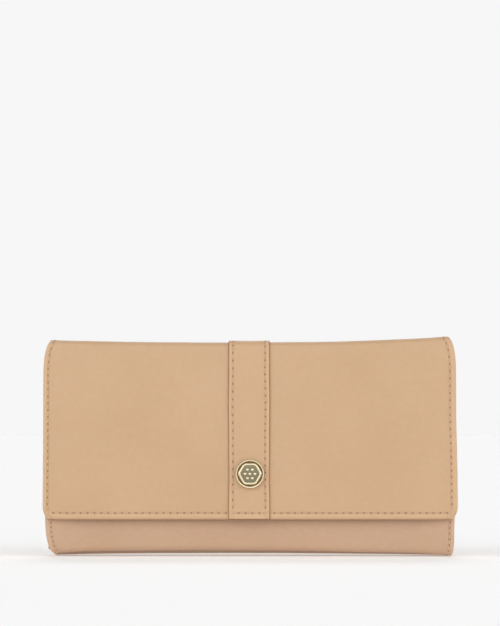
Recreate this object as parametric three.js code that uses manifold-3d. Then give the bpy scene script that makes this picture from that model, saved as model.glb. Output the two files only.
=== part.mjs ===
// A long flap wallet, standing on its folded base, in millimetres with +Z up and the front facing -Y.
// One leather skin runs down the back, under the base and up the front, and over the top as the flap.
// Inside, card slots line both walls, and a zipped pocket divides the space into two note compartments.
import * as THREE from "three";
import { mergeVertices } from "three/addons/utils/BufferGeometryUtils.js";
import Module from "manifold-3d";

const wasm = await Module();
wasm.setup();

// ---- Driving dimensions ----
const FLAP_HALF_WIDTH = 97.5;
const HEIGHT = 100; // top of the spine's leather above the base
const FOLD_RADIUS = 2.8; // the outer radius of the two folds along the top
const BASE_RADIUS = 4.5; // the outer radius of the two folds along the base
const FLAP_BOTTOM = 17.4;
const FRONT_TOP = 89;
const SNAP_Z = 38.8;
const STRAP_HALF_WIDTH = 9.7;
const BODY_HALF_WIDTH = 96.4;

// ---- Sheet thicknesses ----
const LEATHER = 1.2;
const BOARD = 0.8;
const LINING = 0.5;
const STRAP = 1.0;
const SLOT = 0.5;
const WALL = 0.6;
const GLUE = 0.1; // the gap left between glued sheets
const SLOT_GAP = 0.15;
const COMPARTMENT = 4.8;
const POCKET_GAP = 3.8;
const FLAP_GAP = 1.85; // between the flap's lining and the front panel
const REAR_SLOTS = 4;
const FRONT_SLOTS = 3;
const CAP_HEIGHT = 2.4;

// Every sheet's place is a depth, measured forwards from the outer face of the back panel.
const backBoard = LEATHER + GLUE;
const backLining = backBoard + BOARD + GLUE;
const rearSlots = backLining + LINING + SLOT_GAP;
const rearCompartment = rearSlots + REAR_SLOTS * (SLOT + SLOT_GAP) - SLOT_GAP;
const pocketRear = rearCompartment + COMPARTMENT;
const pocketFront = pocketRear + WALL + POCKET_GAP;
const frontCompartment = pocketFront + WALL;
const frontSlots = frontCompartment + COMPARTMENT;
const frontLining = frontSlots + FRONT_SLOTS * (SLOT + SLOT_GAP);
const frontBoard = frontLining + LINING + GLUE;
const frontLeather = frontBoard + BOARD + GLUE;
const bodyDepth = frontLeather + LEATHER;
const flapLining = bodyDepth + FLAP_GAP;
const flapBoard = flapLining + LINING + GLUE;
const flapLeather = flapBoard + BOARD + GLUE;
const flapFace = flapLeather + LEATHER;
const strapBack = flapFace + GLUE;
const strapFace = strapBack + STRAP;
const capBack = strapFace + GLUE;
const capFace = capBack + CAP_HEIGHT;

// The depths run along -Y, and the whole depth is centred on the origin.
const backY = capFace / 2;
const foldZ = HEIGHT - FOLD_RADIUS; // height of both top fold lines
const frontFoldDepth = flapFace - FOLD_RADIUS;
const baseFoldDepth = bodyDepth - BASE_RADIUS;
const HINGE_GAP = 0.15; // keeps sheets that meet at a fold line apart
const EDGE = 1; // how far linings and boards stop short of the skin's edge
const INSIDE_BOTTOM = 3; // where the slots, the pocket and the gussets start above the base
const STRAP_END = 7.5; // the depth on the spine where the strap is sewn down and ends

const material = (color, roughness, metalness = 0) =>
  new THREE.MeshStandardMaterial({ color, roughness, metalness });
const materials = {
  leather: material(0xd3af8c, 0.55),
  board: material(0xb9a58c, 0.9),
  lining: material(0xc9ab8a, 0.8),
  slot: material(0xcfae8d, 0.6),
  tape: material(0xbf9f7d, 0.85),
  gold: material(0xc9b98a, 0.3, 1),
  steel: material(0xb8b6ae, 0.35, 1),
};

const wallet = new THREE.Group();

function add(name, geometry, finish) {
  const mesh = new THREE.Mesh(geometry, finish);
  mesh.name = name;
  wallet.add(mesh);
}

// ---- Shapes ----

const shapeOf = (points) => new THREE.Shape(points.map(([x, y]) => new THREE.Vector2(x, y)));

const circle = (x, z, radius) => new THREE.Path().absarc(x, z, radius, 0, 2 * Math.PI, true);

const CURVE_SEGMENTS = 8;

// A sheet cut to an outline in X and Z, from one depth to a deeper one.
function sheet(outline, depth, thickness) {
  const options = { depth: thickness, bevelEnabled: false, curveSegments: CURVE_SEGMENTS };
  return new THREE.ExtrudeGeometry(outline, options)
    .rotateX(Math.PI / 2)
    .translate(0, backY - depth, 0);
}

// A section drawn in depth and Z, drawn out along X to the same distance on both sides.
function alongX(section, halfWidth) {
  const options = { depth: 2 * halfWidth, bevelEnabled: false, curveSegments: CURVE_SEGMENTS };
  const turn = new THREE.Matrix4().makeBasis(
    new THREE.Vector3(0, -1, 0),
    new THREE.Vector3(0, 0, 1),
    new THREE.Vector3(-1, 0, 0),
  );
  return new THREE.ExtrudeGeometry(section, options)
    .applyMatrix4(turn)
    .translate(halfWidth, backY, 0);
}

// An outline drawn in X and Y, drawn upwards between two heights.
function upwards(outline, [bottom, top]) {
  const options = { depth: top - bottom, bevelEnabled: false, curveSegments: CURVE_SEGMENTS };
  return new THREE.ExtrudeGeometry(outline, options).translate(0, 0, bottom);
}

// A turned piece about the snap's axis: each point is a radius and a depth.
function turned(profile, segments = 32) {
  const points = profile.map(([radius, depth]) => new THREE.Vector2(radius, backY - depth));
  return new THREE.LatheGeometry(points, segments).translate(0, 0, SNAP_Z);
}

function block(xRange, depthRange, zRange) {
  const size = [xRange, depthRange, zRange].map(([low, high]) => high - low);
  const middle = [xRange, depthRange, zRange].map(([low, high]) => (low + high) / 2);
  return new THREE.BoxGeometry(...size).translate(middle[0], backY - middle[1], middle[2]);
}

// ---- Joining and cutting ----

function solid(geometry) {
  const bare = geometry.clone();
  bare.deleteAttribute("normal");
  bare.deleteAttribute("uv");
  const merged = mergeVertices(bare, 1e-4);
  return new wasm.Manifold(
    new wasm.Mesh({
      numProp: 3,
      vertProperties: merged.attributes.position.array,
      triVerts: new Uint32Array(merged.index.array),
    }),
  );
}

function geometryOf(manifold) {
  const mesh = manifold.getMesh();
  return new THREE.BufferGeometry()
    .setAttribute("position", new THREE.BufferAttribute(mesh.vertProperties, 3))
    .setIndex(new THREE.BufferAttribute(mesh.triVerts, 1));
}

const join = (...pieces) => geometryOf(pieces.map(solid).reduce((sum, piece) => sum.add(piece)));

// ---- Outlines ----

const TOP_INSET = 2.4; // how far each side of the skin draws in where it bends over the top
const BASE_INSET = 1.9; // and where it bends under the base
const FLAP_CORNER = 2;
const SIDE_STEPS = 20;

const ease = (value) => THREE.MathUtils.smoothstep(value, 0, 1);
const topInset = (z) => TOP_INSET * Math.max(0, (z - 82) / (foldZ - 82)) ** 3;

// Half the flap's width at a height: it narrows slightly upwards, and its lower corners are rounded.
function flapHalfWidth(z) {
  const corner = THREE.MathUtils.clamp(1 - (z - FLAP_BOTTOM) / FLAP_CORNER, 0, 1);
  const rounding = FLAP_CORNER * (1 - Math.sqrt(1 - corner ** 2));
  return FLAP_HALF_WIDTH - 0.008 * (z - FLAP_BOTTOM) - 0.7 * topInset(z) - rounding;
}

// Half the body's width at a height: its panels narrow towards the base.
const frontHalfWidth = (z) => BODY_HALF_WIDTH - BASE_INSET * ease((14 - z) / 11);
const backHalfWidth = (z) => frontHalfWidth(z) - 0.7 * topInset(z);

// A panel of the skin between two heights, with a hole for the snap's post if it has one.
function panel(halfWidthAt, bottom, top, hole = 0) {
  const heights = Array.from({ length: SIDE_STEPS + 1 }, (_, i) => {
    const along = i / SIDE_STEPS;
    return THREE.MathUtils.lerp(bottom, top, along < 0.5 ? 2 * along ** 2 : 1 - 2 * (1 - along) ** 2);
  });
  const right = heights.map((z) => [halfWidthAt(z), z]);
  const left = right.map(([x, z]) => [-x, z]).reverse();
  const outline = shapeOf([...right, ...left]);
  if (hole) outline.holes.push(circle(0, SNAP_Z, hole));
  return outline;
}

// A plain rectangle, symmetrical about the middle.
function rectangle(halfWidth, bottom, top, hole = 0) {
  const outline = shapeOf([
    [-halfWidth, bottom],
    [halfWidth, bottom],
    [halfWidth, top],
    [-halfWidth, top],
  ]);
  if (hole) outline.holes.push(circle(0, SNAP_Z, hole));
  return outline;
}

// The section of a sheet bent round a quarter turn about a fold line, from one angle on.
function foldSection(depth, z, outer, thickness, from) {
  const section = new THREE.Shape();
  const to = from + Math.PI / 2;
  section.absarc(depth, z, outer, from, to, false);
  section.absarc(depth, z, outer - thickness, to, from, true);
  return section;
}

// The outline of a strip of even thickness along a line of points.
function strip(line, thickness) {
  const edge = (sign) =>
    line.map((point, i) => {
      const before = point.clone().sub(line[Math.max(i - 1, 0)]);
      const after = line[Math.min(i + 1, line.length - 1)].clone().sub(point);
      const arms = [before, after].filter((arm) => arm.length() > 0);
      const normals = arms.map((arm) => new THREE.Vector2(-arm.y, arm.x).normalize());
      const mitre = normals.reduce((sum, normal) => sum.add(normal), new THREE.Vector2()).normalize();
      return point.clone().addScaledVector(mitre, (sign * thickness) / 2 / mitre.dot(normals[0]));
    });
  return new THREE.Shape([...edge(1), ...edge(-1).reverse()]);
}

// ---- Snap ----

const POST_RADIUS = 1.5;
const POST_HOLE = 1.8;
const CAP_RADIUS = 6.75;
const BOSS_RADIUS = 5.6;
const SOCKET_RADIUS = 5.2;
const SOCKET_BORE = 3.6;
const SOCKET_HEIGHT = 1.65;
const SOCKET_FLOOR = 0.4;
const SPRING_WIRE = 0.5;
const STUD_FLANGE_RADIUS = 4.5;
const STUD_HEAD_RADIUS = 2.4;
const STUD_FLANGE = 0.5;
const STUD_HEAD = 1.1;
const WASHER_RADIUS = 4;
const CLEAR = 0.05; // between metal pieces that only touch

// The cap that shows on the strap: a rimmed disc with a six-sided boss, on a post through the flap.
function snapCap() {
  const [dishDepth, rimDepth, postEnd] = [capFace - 0.9, capFace - 0.3, flapBoard - GLUE];
  const disc = turned([
    [0, dishDepth],
    [BOSS_RADIUS, dishDepth],
    [BOSS_RADIUS + 0.4, rimDepth],
    [CAP_RADIUS - 0.4, rimDepth],
    [CAP_RADIUS, rimDepth - 0.5],
    [CAP_RADIUS, capBack + 0.3],
    [CAP_RADIUS - 0.4, capBack],
    [POST_RADIUS, capBack],
    [POST_RADIUS, postEnd],
    [0, postEnd],
  ]);
  const bossHeight = capFace - dishDepth + 0.2;
  const boss = new THREE.CylinderGeometry(BOSS_RADIUS, BOSS_RADIUS, bossHeight, 6)
    .rotateY(Math.PI / 6)
    .translate(0, backY - capFace + bossHeight / 2, SNAP_Z);
  return join(disc, boss);
}

// The cup on the inside of the flap that the stud snaps into.
function snapSocket() {
  const floor = flapBoard - GLUE - CLEAR;
  const rim = floor - SOCKET_HEIGHT;
  return turned([
    [0, floor - SOCKET_FLOOR],
    [SOCKET_BORE, floor - SOCKET_FLOOR],
    [SOCKET_BORE, rim],
    [SOCKET_RADIUS - 0.5, rim],
    [SOCKET_RADIUS, rim + 0.5],
    [SOCKET_RADIUS, floor],
    [0, floor],
  ].reverse());
}

// The split ring of wire inside the socket that grips the stud.
function snapSpring() {
  const middleRadius = SOCKET_BORE - CLEAR - SPRING_WIRE / 2;
  const depth = flapBoard - GLUE - SOCKET_FLOOR - 0.6;
  const split = 0.3; // half the angle left open, in radians
  const line = new THREE.CatmullRomCurve3(
    Array.from({ length: 17 }, (_, i) => {
      const angle = split + ((2 * Math.PI - 2 * split) * i) / 16;
      const [x, z] = [Math.cos(angle), Math.sin(angle)].map((side) => side * middleRadius);
      return new THREE.Vector3(x, backY - depth, SNAP_Z + z);
    }),
  );
  const wire = new THREE.Shape().absarc(0, 0, SPRING_WIRE / 2, 0, 2 * Math.PI);
  return new THREE.ExtrudeGeometry(wire, { extrudePath: line, steps: 24, curveSegments: 4 });
}

// The stud on the front panel, with its post through the panel.
function snapStud() {
  const flange = bodyDepth + CLEAR;
  const neck = flange + STUD_FLANGE;
  return turned([
    [0, neck + STUD_HEAD],
    [STUD_HEAD_RADIUS - 0.4, neck + STUD_HEAD],
    [STUD_HEAD_RADIUS, neck + STUD_HEAD - 0.4],
    [STUD_HEAD_RADIUS - 0.3, neck],
    [STUD_FLANGE_RADIUS - 0.3, neck],
    [STUD_FLANGE_RADIUS, neck - 0.3],
    [STUD_FLANGE_RADIUS, flange],
    [POST_RADIUS, flange],
    [POST_RADIUS, frontLining + CLEAR],
    [0, frontLining + CLEAR],
  ]);
}

// The washer that the stud's post is riveted over, sunk in a hole of the front lining.
function snapWasher() {
  const [inner, outer] = [POST_RADIUS + CLEAR, WASHER_RADIUS];
  return turned([
    [inner, frontLining],
    [inner, frontLining + LINING],
    [outer, frontLining + LINING],
    [outer, frontLining],
    [inner, frontLining],
  ]);
}

// ---- Zip ----

const ZIP_Z = 73.6; // the plane of the teeth
const ZIP_END = 72; // the teeth run nearly this far each side of the middle
const TAPE = 0.3;
const TAPE_HALF_LENGTH = 88;
const TOOTH_PITCH = 2;
const TOOTH_WIDTH = 0.8;
const TOOTH_HEIGHT = 1.5;
const CHAIN_HALF_WIDTH = 1.5;
const SLIDER_X = 73.8; // the slider's middle when the zip is closed
const SLIDER_HALF_LENGTH = 3.6;
const SLIDER_HALF_WIDTH = 2.5;
const POCKET_TOP = 66;
const POCKET_HALF_WIDTH = 95.5;
const zipDepth = (pocketRear + frontCompartment) / 2;

// One side's tape: up inside the pocket wall, out over it, then in to the teeth. Side is -1 at the rear.
function zipTape(side) {
  const inside = POCKET_GAP / 2 - 0.25;
  const bulge = POCKET_GAP / 2 + 1.2;
  const line = [
    [inside, POCKET_TOP - 8],
    [inside, POCKET_TOP + 0.6],
    [bulge, POCKET_TOP + 4],
    [bulge, ZIP_Z - 1],
    [SLIDER_HALF_WIDTH + 0.2, ZIP_Z],
    [CHAIN_HALF_WIDTH + CLEAR, ZIP_Z],
  ].map(([out, z]) => new THREE.Vector2(zipDepth + side * out, z));
  return alongX(strip(line, TAPE), TAPE_HALF_LENGTH);
}

// One row of teeth on its cord: a comb that reaches past the middle, between the other row's teeth.
function zipTeeth(side) {
  const [root, reach] = [0.5, -0.5];
  const start = -ZIP_END + (side > 0 ? TOOTH_PITCH / 2 : 0);
  const count = Math.floor((ZIP_END - TOOTH_WIDTH - start) / TOOTH_PITCH) + 1;
  const teeth = Array.from({ length: count }, (_, i) => start + i * TOOTH_PITCH).flatMap((x) => [
    [x, root],
    [x, reach],
    [x + TOOTH_WIDTH, reach],
    [x + TOOTH_WIDTH, root],
  ]);
  const cord = [
    [ZIP_END, root],
    [ZIP_END, CHAIN_HALF_WIDTH],
    [-ZIP_END - 0.1, CHAIN_HALF_WIDTH],
    [-ZIP_END - 0.1, root],
  ];
  const comb = shapeOf([...teeth, ...cord].map(([x, out]) => [x, backY - zipDepth - side * out]));
  return upwards(comb, [ZIP_Z - TOOTH_HEIGHT / 2, ZIP_Z + TOOTH_HEIGHT / 2]);
}

const PLATE = 0.8;
const PULL_LENGTH = 17;
const sliderRoom = TOOTH_HEIGHT / 2 + 0.2; // from the teeth's plane to the inside of each plate
const plateTop = ZIP_Z + sliderRoom + PLATE;
const pullZ = plateTop + 0.8; // the pull's cross bar

const ordered = (...ends) => ends.sort((a, b) => a - b);

// The slider: two plates, a wedge between them, flanges that leave the tapes a slot, and a bridge on top.
function zipSlider() {
  const along = [SLIDER_X - SLIDER_HALF_LENGTH, SLIDER_X + SLIDER_HALF_LENGTH];
  const across = [zipDepth - SLIDER_HALF_WIDTH, zipDepth + SLIDER_HALF_WIDTH];
  const over = ZIP_Z + sliderRoom;
  const under = ZIP_Z - sliderRoom;
  const [tapeSlot, overlap] = [0.4, 0.2];
  const wedgeX = [ZIP_END + 0.4, SLIDER_X + SLIDER_HALF_LENGTH - 0.4];
  const plates = [
    block(along, across, [over, plateTop]),
    block(along, across, [under - PLATE, under]),
    block(wedgeX, [zipDepth - 0.8, zipDepth + 0.8], [under - overlap, over + overlap]),
  ];
  const flanges = [-1, 1].flatMap((side) => {
    const ends = [CHAIN_HALF_WIDTH + 0.25, SLIDER_HALF_WIDTH].map((out) => zipDepth + side * out);
    return [
      block(along, ordered(...ends), [ZIP_Z + tapeSlot, over + overlap]),
      block(along, ordered(...ends), [under - overlap, ZIP_Z - tapeSlot]),
    ];
  });
  return join(...plates, ...flanges, ...sliderBridge());
}

// The bridge that holds the pull's cross bar down on the slider.
function sliderBridge() {
  const [legNear, legFar, beamUnder, beamTop, half] = [1.6, 2.6, 0.8, 1.6, 0.8];
  const across = [zipDepth - half, zipDepth + half];
  const legs = [-1, 1].map((side) => {
    const ends = ordered(SLIDER_X + side * legNear, SLIDER_X + side * legFar);
    return block(ends, across, [plateTop - 0.2, pullZ + beamTop]);
  });
  const beamX = [SLIDER_X - legFar, SLIDER_X + legFar];
  return [...legs, block(beamX, across, [pullZ + beamUnder, pullZ + beamTop])];
}

// The pull: a flat tab with a window for the slider's bridge, lying back along the teeth.
function zipPull() {
  const [bar, windowEnd, windowHalf, half] = [0.5, 3.9, 1.3, 2.2];
  const end = SLIDER_X - PULL_LENGTH + half;
  const y = backY - zipDepth;
  const outline = new THREE.Shape();
  outline.moveTo(SLIDER_X + bar, y - half);
  outline.lineTo(SLIDER_X + bar, y + half);
  outline.lineTo(end, y + half);
  outline.absarc(end, y, half, Math.PI / 2, (3 * Math.PI) / 2, false);
  const opening = shapeOf([
    [SLIDER_X - bar, y - windowHalf],
    [SLIDER_X - windowEnd, y - windowHalf],
    [SLIDER_X - windowEnd, y + windowHalf],
    [SLIDER_X - bar, y + windowHalf],
  ]);
  outline.holes.push(opening);
  return upwards(outline, [pullZ - bar, pullZ + bar]);
}

// A stop clamped on the tapes, at one end of the teeth.
const zipStop = (xRange, depthRange) => block(xRange, depthRange, [ZIP_Z - 0.7, ZIP_Z + 0.7]);

// ---- Gussets ----

const GUSSET = 0.5;
const GUSSET_OUTER = 96;
const GUSSET_INNER = 86.5;
const GUSSET_TOP = 86;

// A side gusset: it folds into the wallet twice, and passes round the pocket. Side is -1 on the left.
function gusset(side) {
  const margin = GLUE + GUSSET / 2;
  const line = [
    [GUSSET_OUTER, rearCompartment + margin],
    [GUSSET_INNER, rearCompartment + COMPARTMENT / 2],
    [GUSSET_OUTER, pocketRear - margin],
    [GUSSET_OUTER, frontCompartment + margin],
    [GUSSET_INNER, frontCompartment + COMPARTMENT / 2],
    [GUSSET_OUTER, frontSlots - margin],
  ].map(([x, depth]) => new THREE.Vector2(side * x, backY - depth));
  return upwards(strip(line, GUSSET), [INSIDE_BOTTOM, GUSSET_TOP]);
}

// ---- Assembly ----

const wallTop = foldZ - HINGE_GAP;
const spineHalfWidth = flapHalfWidth(wallTop);
const innerHalfWidth = spineHalfWidth - EDGE;
const baseHalfWidth = frontHalfWidth(BASE_RADIUS);
const sides = [["rear", -1], ["front", 1]];

function addBackShell() {
  const outline = panel(backHalfWidth, BASE_RADIUS + GLUE, wallTop);
  const inner = rectangle(innerHalfWidth, BASE_RADIUS + EDGE, wallTop);
  add("back_panel_leather", sheet(outline, 0, LEATHER), materials.leather);
  add("back_board", sheet(inner, backBoard, BOARD), materials.board);
  add("back_lining", sheet(inner, backLining, LINING), materials.lining);
  add("base_leather", alongX(baseSection(), baseHalfWidth), materials.leather);
  const boardX = [-innerHalfWidth + EDGE, innerHalfWidth - EDGE];
  const boardZ = [LEATHER + GLUE, LEATHER + GLUE + BOARD];
  add("base_board", block(boardX, [BASE_RADIUS, baseFoldDepth], boardZ), materials.board);
  addSlots("rear_card_slot_", REAR_SLOTS, rearSlots, 86, 1);
}

// The skin's section under the wallet: a quarter round from the back panel, then flat.
function baseSection() {
  const section = new THREE.Shape();
  section.absarc(BASE_RADIUS, BASE_RADIUS, BASE_RADIUS, Math.PI, 1.5 * Math.PI, false);
  section.lineTo(baseFoldDepth, 0);
  section.lineTo(baseFoldDepth, LEATHER);
  section.absarc(BASE_RADIUS, BASE_RADIUS, BASE_RADIUS - LEATHER, 1.5 * Math.PI, Math.PI, true);
  return section;
}

const SLOT_HALF_WIDTH = 92;
const SLOT_STEP = 8;

// Stepped card slots: the tallest lies against the wall, and each next one is lower and further in.
function addSlots(name, count, firstDepth, top, direction) {
  for (let i = 0; i < count; i++) {
    const depth = firstDepth + direction * i * (SLOT + SLOT_GAP);
    const outline = rectangle(SLOT_HALF_WIDTH, INSIDE_BOTTOM, top - i * SLOT_STEP);
    add(name + (i + 1), sheet(outline, depth, SLOT), materials.slot);
  }
}

function addSpine() {
  const ends = [FOLD_RADIUS + HINGE_GAP, frontFoldDepth - HINGE_GAP];
  const under = HEIGHT - LEATHER - GLUE;
  const width = [-spineHalfWidth, spineHalfWidth];
  add("spine_leather", block(width, ends, [HEIGHT - LEATHER, HEIGHT]), materials.leather);
  const liningX = [-innerHalfWidth, innerHalfWidth];
  add("spine_lining", block(liningX, ends, [under - LINING, under]), materials.lining);
  const strapX = [-STRAP_HALF_WIDTH, STRAP_HALF_WIDTH];
  const strapZ = [HEIGHT + GLUE, HEIGHT + GLUE + STRAP];
  add("strap_top", block(strapX, [STRAP_END, ends[1]], strapZ), materials.leather);
  const backFold = foldSection(FOLD_RADIUS, foldZ, FOLD_RADIUS, LEATHER, Math.PI / 2);
  add("top_back_fold", alongX(backFold, spineHalfWidth), materials.leather);
  const frontFold = foldSection(frontFoldDepth, foldZ, FOLD_RADIUS, LEATHER, 0);
  add("top_front_fold", alongX(frontFold, spineHalfWidth), materials.leather);
  const strapFold = foldSection(frontFoldDepth, foldZ, FOLD_RADIUS + GLUE + STRAP, STRAP, 0);
  add("strap_fold", alongX(strapFold, STRAP_HALF_WIDTH), materials.leather);
}

function addFlap() {
  const skin = panel(flapHalfWidth, FLAP_BOTTOM, wallTop, POST_HOLE);
  const board = rectangle(innerHalfWidth, FLAP_BOTTOM + 2 * EDGE, wallTop, POST_HOLE);
  const lining = rectangle(innerHalfWidth, FLAP_BOTTOM + EDGE, wallTop, SOCKET_RADIUS + 0.3);
  const strap = rectangle(STRAP_HALF_WIDTH, FLAP_BOTTOM, wallTop, POST_HOLE);
  add("flap_leather", sheet(skin, flapLeather, LEATHER), materials.leather);
  add("flap_board", sheet(board, flapBoard, BOARD), materials.board);
  add("flap_lining", sheet(lining, flapLining, LINING), materials.lining);
  add("strap_front", sheet(strap, strapBack, STRAP), materials.leather);
  add("snap_cap", snapCap(), materials.gold);
  add("snap_socket", snapSocket(), materials.steel);
  add("snap_spring", snapSpring(), materials.steel);
}

function addPocket() {
  const wall = rectangle(POCKET_HALF_WIDTH, INSIDE_BOTTOM + WALL + GLUE, POCKET_TOP);
  add("pocket_rear_wall", sheet(wall, pocketRear, WALL), materials.lining);
  add("pocket_front_wall", sheet(wall, pocketFront, WALL), materials.lining);
  const foldX = [-POCKET_HALF_WIDTH, POCKET_HALF_WIDTH];
  const fold = block(foldX, [pocketRear, frontCompartment], [INSIDE_BOTTOM, INSIDE_BOTTOM + WALL]);
  add("pocket_bottom_fold", fold, materials.lining);
}

function addZip() {
  const stopZ = [ZIP_Z - 0.7, ZIP_Z + 0.7];
  const stopX = SLIDER_X + SLIDER_HALF_LENGTH + 0.2;
  for (const [name, side] of sides) {
    const row = ordered(...[0.5, CHAIN_HALF_WIDTH].map((out) => zipDepth + side * out));
    add("zip_tape_" + name, zipTape(side), materials.tape);
    add("zip_teeth_" + name, zipTeeth(side), materials.gold);
    add("zip_top_stop_" + name, block([stopX, stopX + 1.6], row, stopZ), materials.gold);
  }
  const bothRows = [zipDepth - CHAIN_HALF_WIDTH, zipDepth + CHAIN_HALF_WIDTH];
  add("zip_bottom_stop", block([-ZIP_END - 2.4, -ZIP_END - 0.4], bothRows, stopZ), materials.gold);
  add("zip_slider", zipSlider(), materials.gold);
  add("zip_pull", zipPull(), materials.gold);
}

function addFrontShell() {
  const skin = panel(frontHalfWidth, BASE_RADIUS, FRONT_TOP, POST_HOLE);
  const [low, high] = [BASE_RADIUS + EDGE, FRONT_TOP - EDGE / 2];
  const board = rectangle(innerHalfWidth, low, high, POST_HOLE);
  const lining = rectangle(innerHalfWidth, low, high, WASHER_RADIUS + 0.4);
  add("front_panel_leather", sheet(skin, frontLeather, LEATHER), materials.leather);
  add("front_board", sheet(board, frontBoard, BOARD), materials.board);
  add("front_lining", sheet(lining, frontLining, LINING), materials.lining);
  const nearest = frontSlots + (FRONT_SLOTS - 1) * (SLOT + SLOT_GAP);
  addSlots("front_card_slot_", FRONT_SLOTS, nearest, 84, -1);
  add("snap_stud", snapStud(), materials.steel);
  add("snap_washer", snapWasher(), materials.steel);
  const foldRadius = BASE_RADIUS - HINGE_GAP;
  const fold = foldSection(baseFoldDepth + HINGE_GAP, foldRadius, foldRadius, LEATHER, -Math.PI / 2);
  add("bottom_front_fold", alongX(fold, baseHalfWidth), materials.leather);
}

addBackShell();
addSpine();
addFlap();
addPocket();
addZip();
addFrontShell();
add("gusset_left", gusset(-1), materials.lining);
add("gusset_right", gusset(1), materials.lining);

export default wallet;
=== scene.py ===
# A long wallet in soft tan leather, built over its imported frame.
# Shapes are worked out in millimetres, and turned into metres when each mesh is made.
import math

import bmesh
import bpy
import numpy as np
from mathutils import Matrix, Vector, noise


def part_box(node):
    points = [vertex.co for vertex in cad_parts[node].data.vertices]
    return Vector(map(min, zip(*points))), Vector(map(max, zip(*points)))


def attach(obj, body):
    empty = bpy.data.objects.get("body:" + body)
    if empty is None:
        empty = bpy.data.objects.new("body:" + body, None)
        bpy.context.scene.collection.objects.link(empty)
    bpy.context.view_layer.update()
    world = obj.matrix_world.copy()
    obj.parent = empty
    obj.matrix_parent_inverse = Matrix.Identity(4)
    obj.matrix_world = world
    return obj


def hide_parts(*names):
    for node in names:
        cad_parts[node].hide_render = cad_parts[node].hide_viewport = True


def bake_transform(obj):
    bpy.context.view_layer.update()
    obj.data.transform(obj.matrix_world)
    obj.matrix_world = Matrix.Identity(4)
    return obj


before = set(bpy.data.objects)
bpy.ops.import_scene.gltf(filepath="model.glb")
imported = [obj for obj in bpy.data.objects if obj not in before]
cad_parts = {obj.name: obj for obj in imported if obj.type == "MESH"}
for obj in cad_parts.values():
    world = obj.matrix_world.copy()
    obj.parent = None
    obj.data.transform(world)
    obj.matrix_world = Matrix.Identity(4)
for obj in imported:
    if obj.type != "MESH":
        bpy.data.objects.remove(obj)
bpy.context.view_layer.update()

MM = 0.001


# ---- What the frame says, in millimetres ----


def box(node):
    low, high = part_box(node)
    return np.array(low) / MM, np.array(high) / MM


LOW, HIGH = 0, 1
X, Y, Z = 0, 1, 2

BACK_Y = box("back_panel_leather")[HIGH][Y]
BACK_INNER_Y = box("back_lining")[LOW][Y]
FRONT_Y = box("front_panel_leather")[LOW][Y]
FRONT_INNER_Y = box("front_lining")[HIGH][Y]
FRONT_TOP = box("front_panel_leather")[HIGH][Z]
FLAP_Y = box("flap_leather")[LOW][Y]
FLAP_INNER_Y = box("flap_lining")[HIGH][Y]
FLAP_BOTTOM = box("flap_leather")[LOW][Z]
FLAP_HALF = box("flap_leather")[HIGH][X]
BODY_HALF = box("front_panel_leather")[HIGH][X]
TOP_Z = box("spine_leather")[HIGH][Z]
TOP_INNER_Z = box("spine_lining")[LOW][Z]
TOP_RADIUS = TOP_Z - box("top_back_fold")[LOW][Z]
BASE_RADIUS = box("base_leather")[HIGH][Z]
LEATHER = BACK_Y - box("back_panel_leather")[LOW][Y]
PANEL = BACK_Y - BACK_INNER_Y
STRAP_Y = box("strap_front")[LOW][Y]
STRAP_HALF = box("strap_front")[HIGH][X]
STRAP_END_Y = box("strap_top")[HIGH][Y]
STRAP = 0.75 * (box("strap_front")[HIGH][Y] - STRAP_Y)  # the sewing draws the strap down
MIDDLE_SPINE_Y = (BACK_Y + FLAP_Y) / 2
MIDDLE_BASE_Y = (BACK_Y + FRONT_Y) / 2


# ---- Small maths ----


def ease(value):
    t = np.clip(value, 0, 1)
    return t * t * (3 - 2 * t)


def bump(distance, width):
    return np.exp(-((distance / width) ** 2))


def unit(vectors):
    return vectors / np.linalg.norm(vectors, axis=-1, keepdims=True)


def travelled(path):
    """How far along a path each of its points lies."""
    return np.r_[0, np.cumsum(np.linalg.norm(np.diff(path, axis=0), axis=1))]


def line(start, end, step=0.5):
    """Points from start to end, in Y and Z."""
    start, end = np.array(start, float), np.array(end, float)
    count = max(2, int(np.linalg.norm(end - start) / step))
    return start + (end - start) * np.linspace(0, 1, count)[:, None]


def folded(points, radii, count=16):
    """A path through points in Y and Z, with each square corner between them turned at its radius."""
    points = np.array(points, float)
    angle = np.linspace(0, math.pi / 2, count)[:, None]
    start, stretches = points[0], []
    for before, corner, after, radius in zip(points, points[1:], points[2:], radii):
        into, away = unit(corner - before), unit(after - corner)
        turn = np.sin(angle) * into - np.cos(angle) * away
        stretches += [line(start, corner - radius * into), corner + radius * (away - into + turn)]
        start = corner + radius * away
    path = np.concatenate([*stretches, line(start, points[-1])])
    return path[np.r_[True, np.diff(travelled(path)) > 1e-4]]  # without the points that come twice


# ---- How the soft wallet settles ----

FULL_HALF = 93


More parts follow.
